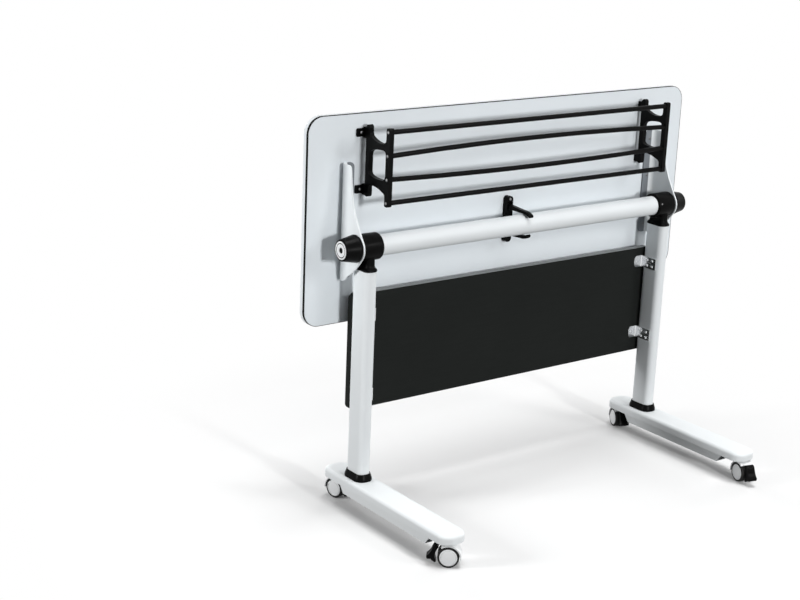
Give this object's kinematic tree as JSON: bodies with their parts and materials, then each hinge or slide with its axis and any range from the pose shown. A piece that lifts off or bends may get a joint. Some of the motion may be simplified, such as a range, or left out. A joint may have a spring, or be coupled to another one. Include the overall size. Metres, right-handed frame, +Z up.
{
  "type": "flip top training table",
  "caption": "Folding training table: its top stands upright on a round beam between castored legs, with a rod book basket, a release lever and a modesty panel.",
  "frame": {"origin": "on the floor, under the middle of the whole table", "axes": "+X along the length of the top, +Z up, the sitter's side and the long ends of the feet towards -Y"},
  "size_m": [1.2, 0.5456, 0.955],
  "materials": {
    "top_laminate": "light grey-white laminate on a wooden core, satin",
    "band_light": "light edge band, satin",
    "band_dark": "black edge band, satin",
    "white_paint": "white powder coat on steel",
    "white_plastic": "white moulded plastic",
    "black_plastic": "black moulded plastic, fine grain",
    "black_paint": "black powder coat, satin",
    "panel_board": "charcoal laminated board, matt",
    "bright_steel": "zinc plated steel",
    "pale_cap": "pale grey moulded plastic",
    "tyre_rubber": "black polyurethane tread"
  },
  "bodies": {
    "frame": {"hub_left": "black_plastic", "pivot_bolt_left": "bright_steel", "column_left": "white_paint", "column_collar_left": "black_plastic", "foot_cover_left": "white_paint", "foot_rail_left": "white_paint", "end_knob_left": "black_plastic", "knob_disc_left": "pale_cap", "panel_clip_upper_left": "bright_steel", "panel_clip_lower_left": "bright_steel", "hub_right": "black_plastic", "pivot_bolt_right": "bright_steel", "column_right": "white_paint", "column_collar_right": "black_plastic", "foot_cover_right": "white_paint", "foot_rail_right": "white_paint", "end_knob_right": "black_plastic", "knob_disc_right": "pale_cap", "panel_clip_upper_right": "bright_steel", "panel_clip_lower_right": "bright_steel", "beam_tube": "white_paint", "modesty_panel": "panel_board"},
    "top": {"tabletop_board": "top_laminate", "edge_band_dark": "band_dark", "edge_band_light": "band_light", "tilt_plate_left": "white_paint", "tilt_plate_right": "white_paint", "basket_end_left": "black_paint", "basket_end_right": "black_paint", "basket_rod_1": "black_paint", "basket_rod_2": "black_paint", "basket_rod_3": "black_paint", "basket_rod_4": "black_paint", "latch_housing": "black_plastic", "lever_pin": "bright_steel", "arm_pin": "bright_steel"},
    "lever": {"release_lever": "black_plastic"},
    "arm": {"latch_arm": "black_plastic"},
    "swivel_front_left": {"castor_front_left_hood": "white_plastic"},
    "wheels_front_left": {"castor_front_left_wheel_hub": "pale_cap", "castor_front_left_tyre_a": "tyre_rubber", "castor_front_left_tyre_b": "tyre_rubber"},
    "pedal_front_left": {"castor_front_left_pedal": "black_plastic"},
    "swivel_front_right": {"castor_front_right_hood": "white_plastic"},
    "wheels_front_right": {"castor_front_right_wheel_hub": "pale_cap", "castor_front_right_tyre_a": "tyre_rubber", "castor_front_right_tyre_b": "tyre_rubber"},
    "pedal_front_right": {"castor_front_right_pedal": "black_plastic"},
    "swivel_rear_left": {"castor_rear_left_hood": "white_plastic"},
    "wheels_rear_left": {"castor_rear_left_wheel_hub": "pale_cap", "castor_rear_left_tyre_a": "tyre_rubber", "castor_rear_left_tyre_b": "tyre_rubber"},
    "pedal_rear_left": {"castor_rear_left_pedal": "black_plastic"},
    "swivel_rear_right": {"castor_rear_right_hood": "white_plastic"},
    "wheels_rear_right": {"castor_rear_right_wheel_hub": "pale_cap", "castor_rear_right_tyre_a": "tyre_rubber", "castor_rear_right_tyre_b": "tyre_rubber"},
    "pedal_rear_right": {"castor_rear_right_pedal": "black_plastic"}
  },
  "joints": [
    {"name": "top_flip", "type": "hinge", "parent": "frame", "child": "top", "pos_m": [0, 0.15433, 0.655], "axis": [1, 0, 0], "range_deg": [0, 90]},
    {"name": "lever_squeeze", "type": "hinge", "parent": "top", "child": "lever", "pos_m": [0, 0.21553, 0.689], "axis": [1, 0, 0], "range_deg": [-12, 0], "stiffness_Nm_per_rad": 1.5, "springref_deg": 5.73},
    {"name": "arm_open", "type": "hinge", "parent": "top", "child": "arm", "pos_m": [0, 0.21553, 0.621], "axis": [1, 0, 0], "range_deg": [0, 12]},
    {"name": "swivel_front_left", "type": "hinge", "parent": "frame", "child": "swivel_front_left", "pos_m": [-0.478, -0.21567, 0.058], "axis": [0, 0, 1], "continuous": true},
    {"name": "roll_front_left", "type": "hinge", "parent": "swivel_front_left", "child": "wheels_front_left", "pos_m": [-0.48253, -0.21173, 0.025], "axis": [-0.6561, -0.7547, 0], "continuous": true},
    {"name": "brake_front_left", "type": "hinge", "parent": "swivel_front_left", "child": "pedal_front_left", "pos_m": [-0.50255, -0.19433, 0.04889], "axis": [-0.6561, -0.7547, 0], "range_deg": [0, 8]},
    {"name": "swivel_front_right", "type": "hinge", "parent": "frame", "child": "swivel_front_right", "pos_m": [0.478, -0.21567, 0.058], "axis": [0, 0, 1], "continuous": true},
    {"name": "roll_front_right", "type": "hinge", "parent": "swivel_front_right", "child": "wheels_front_right", "pos_m": [0.47655, -0.22149, 0.025], "axis": [0.9703, -0.2419, 0], "continuous": true},
    {"name": "brake_front_right", "type": "hinge", "parent": "swivel_front_right", "child": "pedal_front_right", "pos_m": [0.47013, -0.24723, 0.04889], "axis": [0.9703, -0.2419, 0], "range_deg": [0, 8]},
    {"name": "swivel_rear_left", "type": "hinge", "parent": "frame", "child": "swivel_rear_left", "pos_m": [-0.478, 0.24433, 0.058], "axis": [0, 0, 1], "continuous": true},
    {"name": "roll_rear_left", "type": "hinge", "parent": "swivel_rear_left", "child": "wheels_rear_left", "pos_m": [-0.47645, 0.23853, 0.025], "axis": [0.9659, 0.2588, 0], "continuous": true},
    {"name": "brake_rear_left", "type": "hinge", "parent": "swivel_rear_left", "child": "pedal_rear_left", "pos_m": [-0.46958, 0.21291, 0.04889], "axis": [0.9659, 0.2588, 0], "range_deg": [0, 8]},
    {"name": "swivel_rear_right", "type": "hinge", "parent": "frame", "child": "swivel_rear_right", "pos_m": [0.478, 0.24433, 0.058], "axis": [0, 0, 1], "continuous": true},
    {"name": "roll_rear_right", "type": "hinge", "parent": "swivel_rear_right", "child": "wheels_rear_right", "pos_m": [0.47575, 0.23877, 0.025], "axis": [0.9272, -0.3746, 0], "continuous": true},
    {"name": "brake_rear_right", "type": "hinge", "parent": "swivel_rear_right", "child": "pedal_rear_right", "pos_m": [0.46581, 0.21417, 0.04889], "axis": [0.9272, -0.3746, 0], "range_deg": [0, 8]}
  ],
  "couplings": [
    {"joint": "arm_open", "follows": "lever_squeeze", "ratio": -1}
  ]
}
